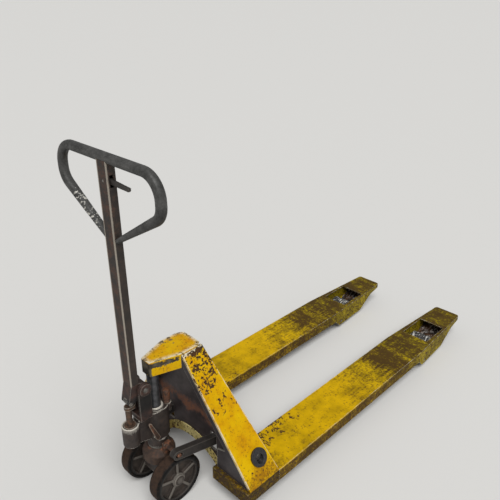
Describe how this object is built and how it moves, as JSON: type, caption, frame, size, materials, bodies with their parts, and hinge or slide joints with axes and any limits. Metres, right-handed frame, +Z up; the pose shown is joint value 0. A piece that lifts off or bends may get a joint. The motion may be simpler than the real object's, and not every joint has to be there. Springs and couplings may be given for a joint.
{
  "type": "pallet jack",
  "caption": "Hand pallet jack with yellow pressed-steel forks, a steered hydraulic pump, a lifting linkage to the load rollers and a loop handle.",
  "frame": {"origin": "on the floor under the middle of the jack's box", "axes": "+Y along the forks towards their tips, +X to the jack's right side in the picture, +Z up"},
  "size_m": [0.619, 1.6886, 1.184],
  "materials": {
    "yellow_paint": "chipped and rusting yellow enamel",
    "grey_steel": "hand-worn bare steel",
    "bright_steel": "ground steel",
    "dark_steel": "dark grey primer over steel",
    "cast_iron": "oily cast iron",
    "rusty_steel": "rusted steel",
    "black_rubber": "solid black rubber",
    "black_plastic": "black nylon"
  },
  "bodies": {
    "frame": {"head_cap": "yellow_paint", "ram_seat": "dark_steel", "ram": "bright_steel", "back_plate": "dark_steel", "arch_rim": "yellow_paint", "leg_left": "yellow_paint", "leg_flange_left": "dark_steel", "pivot_bush_left": "black_plastic", "fork_heel_left": "yellow_paint", "fork_left": "yellow_paint", "bracket_pin_left": "bright_steel", "leg_right": "yellow_paint", "leg_flange_right": "dark_steel", "pivot_bush_right": "black_plastic", "fork_heel_right": "yellow_paint", "fork_right": "yellow_paint", "bracket_pin_right": "bright_steel"},
    "carriage": {"link_yoke": "rusty_steel", "thrust_bearing": "bright_steel"},
    "pump": {"pump_body": "cast_iron", "ram_gland": "dark_steel", "relief_valve_cap": "rusty_steel", "axle_block": "cast_iron", "steer_axle": "bright_steel", "handle_bracket": "dark_steel", "handle_pin": "bright_steel", "plunger_spring": "bright_steel"},
    "valve": {"valve_lever": "rusty_steel"},
    "plunger_slide": {"plunger": "bright_steel"},
    "handle": {"handle_foot": "rusty_steel", "handle_shaft": "rusty_steel", "handle_loop": "grey_steel", "lever_pin": "bright_steel"},
    "cam": {"cam_roller": "bright_steel"},
    "control": {"control_lever": "rusty_steel"},
    "release": {"release_rod": "bright_steel"},
    "rocker": {"rocker_shaft": "grey_steel", "link_arm_left": "dark_steel", "link_arm_right": "dark_steel", "rocker_lever_left": "dark_steel", "rocker_lever_right": "dark_steel"},
    "wheel_left": {"steer_tyre_left": "black_rubber", "steer_hub_left": "cast_iron", "steer_bearing_left": "bright_steel", "hub_cap_left": "dark_steel"},
    "push_left": {"push_rod_left": "dark_steel"},
    "bracket_left": {"roller_bracket_left": "dark_steel", "roller_axle_left": "bright_steel"},
    "roller_left": {"load_roller_left": "black_plastic"},
    "wheel_right": {"steer_tyre_right": "black_rubber", "steer_hub_right": "cast_iron", "steer_bearing_right": "bright_steel", "hub_cap_right": "dark_steel"},
    "push_right": {"push_rod_right": "dark_steel"},
    "bracket_right": {"roller_bracket_right": "dark_steel", "roller_axle_right": "bright_steel"},
    "roller_right": {"load_roller_right": "black_plastic"}
  },
  "joints": [
    {"name": "lift", "type": "slide", "parent": "frame", "child": "carriage", "axis": [0, 0, -1], "range_m": [0, 0.09]},
    {"name": "steer", "type": "hinge", "parent": "carriage", "child": "pump", "pos_m": [0, -0.72035, 0.2225], "axis": [0, 0, 1], "range_deg": [-90, 90]},
    {"name": "valve_turn", "type": "hinge", "parent": "pump", "child": "valve", "pos_m": [0.028, -0.74035, 0.24], "axis": [1, 0, 0], "range_deg": [-11, 11]},
    {"name": "plunger_travel", "type": "slide", "parent": "pump", "child": "plunger_slide", "axis": [0, 0, -1], "range_m": [0, 0.0201], "deforming": ["plunger_spring"]},
    {"name": "handle_tilt", "type": "hinge", "parent": "pump", "child": "handle", "pos_m": [0, -0.77235, 0.452], "axis": [1, 0, 0], "range_deg": [0, 75], "stiffness_Nm_per_rad": 20, "springref_deg": -34.38},
    {"name": "cam_spin", "type": "hinge", "parent": "handle", "child": "cam", "pos_m": [0, -0.81635, 0.416], "axis": [1, 0, 0], "continuous": true},
    {"name": "control_swing", "type": "hinge", "parent": "handle", "child": "control", "pos_m": [0, -0.79785, 1.112], "axis": [0, 1, 0], "range_deg": [-18, 18], "stiffness_Nm_per_rad": 0.8},
    {"name": "release_travel", "type": "slide", "parent": "handle", "child": "release", "axis": [0, 0, 1], "range_m": [-0.0036, 0.0036]},
    {"name": "rocker_turn", "type": "hinge", "parent": "frame", "child": "rocker", "pos_m": [0, -0.52435, 0.168], "axis": [1, 0, 0], "range_deg": [0, 26.2]},
    {"name": "wheel_spin_left", "type": "hinge", "parent": "pump", "child": "wheel_left", "pos_m": [-0.079, -0.72035, 0.09], "axis": [1, 0, 0], "continuous": true},
    {"name": "push_turn_left", "type": "hinge", "parent": "rocker", "child": "push_left", "pos_m": [-0.22575, -0.54558, 0.07643], "axis": [1, 0, 0], "range_deg": [-26.2, 0]},
    {"name": "bracket_turn_left", "type": "hinge", "parent": "frame", "child": "bracket_left", "pos_m": [-0.22575, 0.49465, 0.035], "axis": [1, 0, 0], "range_deg": [-58.4, 0]},
    {"name": "roller_spin_left", "type": "hinge", "parent": "bracket_left", "child": "roller_left", "pos_m": [-0.22575, 0.59765, 0.04], "axis": [1, 0, 0], "continuous": true},
    {"name": "wheel_spin_right", "type": "hinge", "parent": "pump", "child": "wheel_right", "pos_m": [0.079, -0.72035, 0.09], "axis": [1, 0, 0], "continuous": true},
    {"name": "push_turn_right", "type": "hinge", "parent": "rocker", "child": "push_right", "pos_m": [0.22575, -0.54558, 0.07643], "axis": [1, 0, 0], "range_deg": [-26.2, 0]},
    {"name": "bracket_turn_right", "type": "hinge", "parent": "frame", "child": "bracket_right", "pos_m": [0.22575, 0.49465, 0.035], "axis": [1, 0, 0], "range_deg": [-58.4, 0]},
    {"name": "roller_spin_right", "type": "hinge", "parent": "bracket_right", "child": "roller_right", "pos_m": [0.22575, 0.59765, 0.04], "axis": [1, 0, 0], "continuous": true}
  ],
  "couplings": [
    {"joint": "rocker_turn", "follows": "lift", "rad_per_m": 5.0638},
    {"joint": "plunger_travel", "follows": "handle_tilt", "m_per_rad": 0.015279},
    {"joint": "release_travel", "follows": "control_swing", "m_per_rad": 0.011},
    {"joint": "valve_turn", "follows": "control_swing", "ratio": 0.6},
    {"joint": "push_turn_left", "follows": "lift", "rad_per_m": -5.0638},
    {"joint": "bracket_turn_left", "follows": "lift", "rad_per_m": -11.305},
    {"joint": "push_turn_right", "follows": "lift", "rad_per_m": -5.0638},
    {"joint": "bracket_turn_right", "follows": "lift", "rad_per_m": -11.305}
  ]
}
